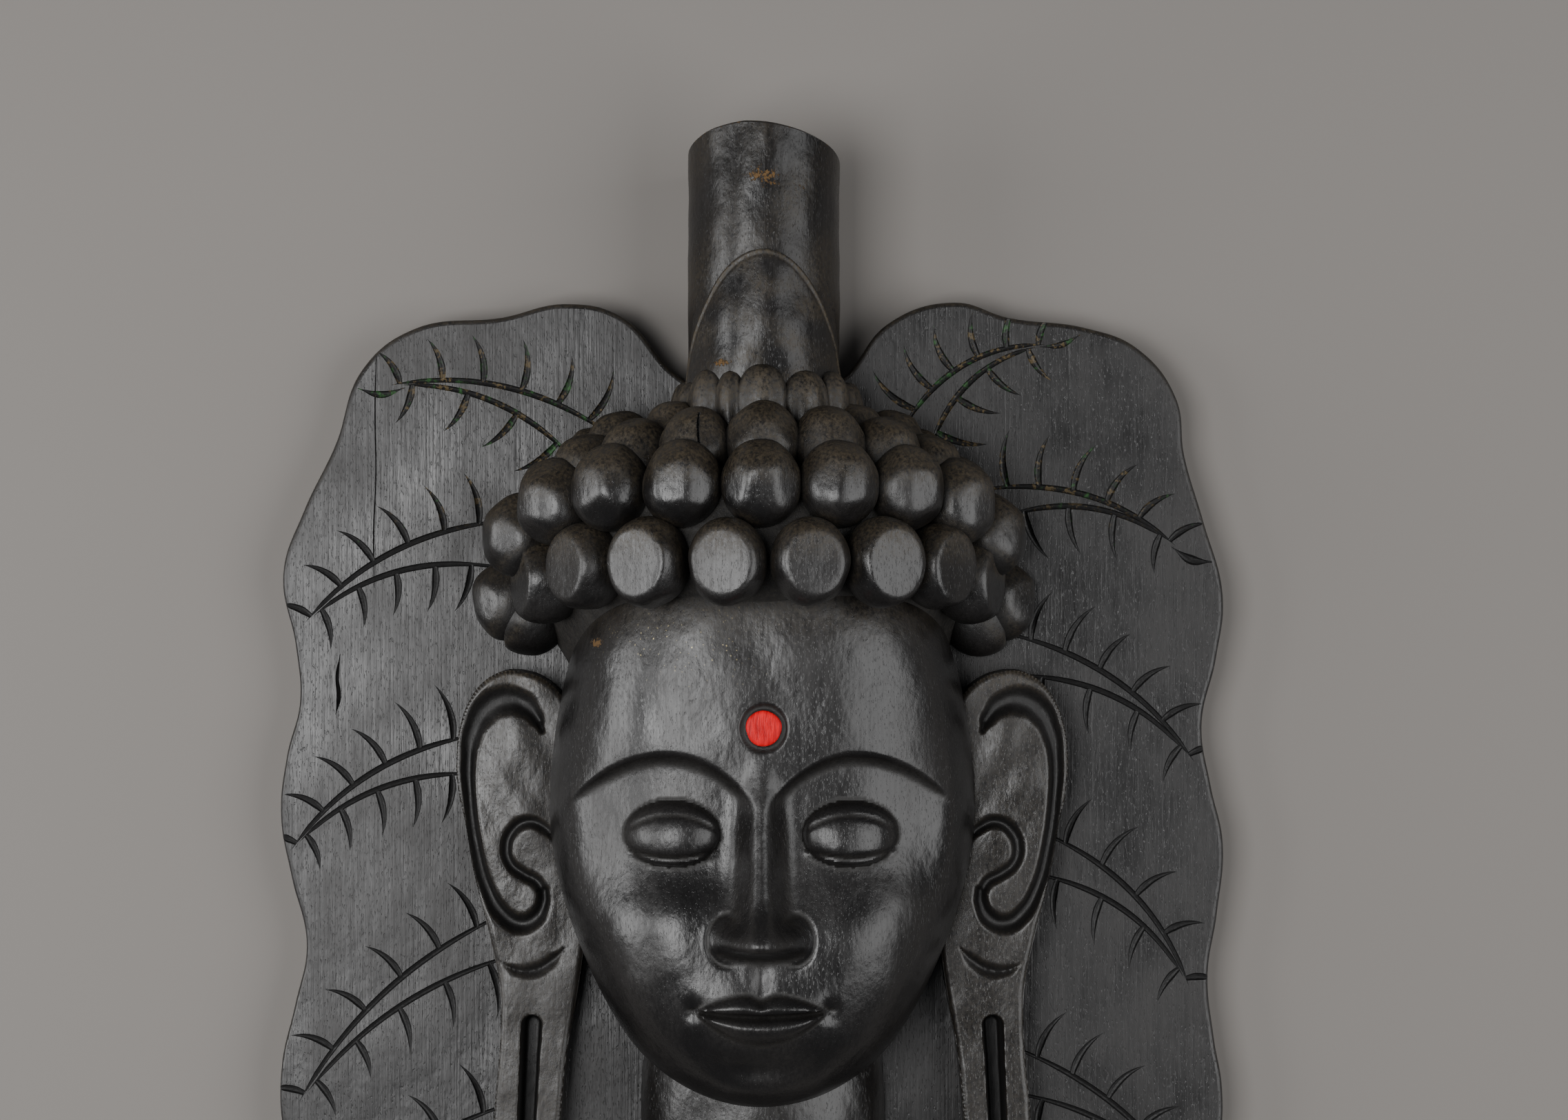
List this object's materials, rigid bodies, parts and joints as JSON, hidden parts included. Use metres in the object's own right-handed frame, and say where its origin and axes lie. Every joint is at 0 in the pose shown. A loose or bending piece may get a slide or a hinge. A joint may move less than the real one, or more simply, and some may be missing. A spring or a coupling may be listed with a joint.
{
  "type": "buddha mask",
  "caption": "Carved wooden wall mask: a calm head with curled hair, tall topknot and long ears before a leaf-shaped board, hollow behind.",
  "frame": {"origin": "on the surface that the mask lies on, under the middle of its length and width", "axes": "+Y from the foot to the topknot, +Z out of the face, +X to the right as one looks at the face"},
  "size_m": [0.6225, 0.7994, 0.19],
  "materials": {
    "painted_wood": "black oil paint on carved wood, satin, worn thin in places"
  },
  "bodies": {
    "root": {"buddha_mask": "painted_wood"}
  },
  "joints": []
}
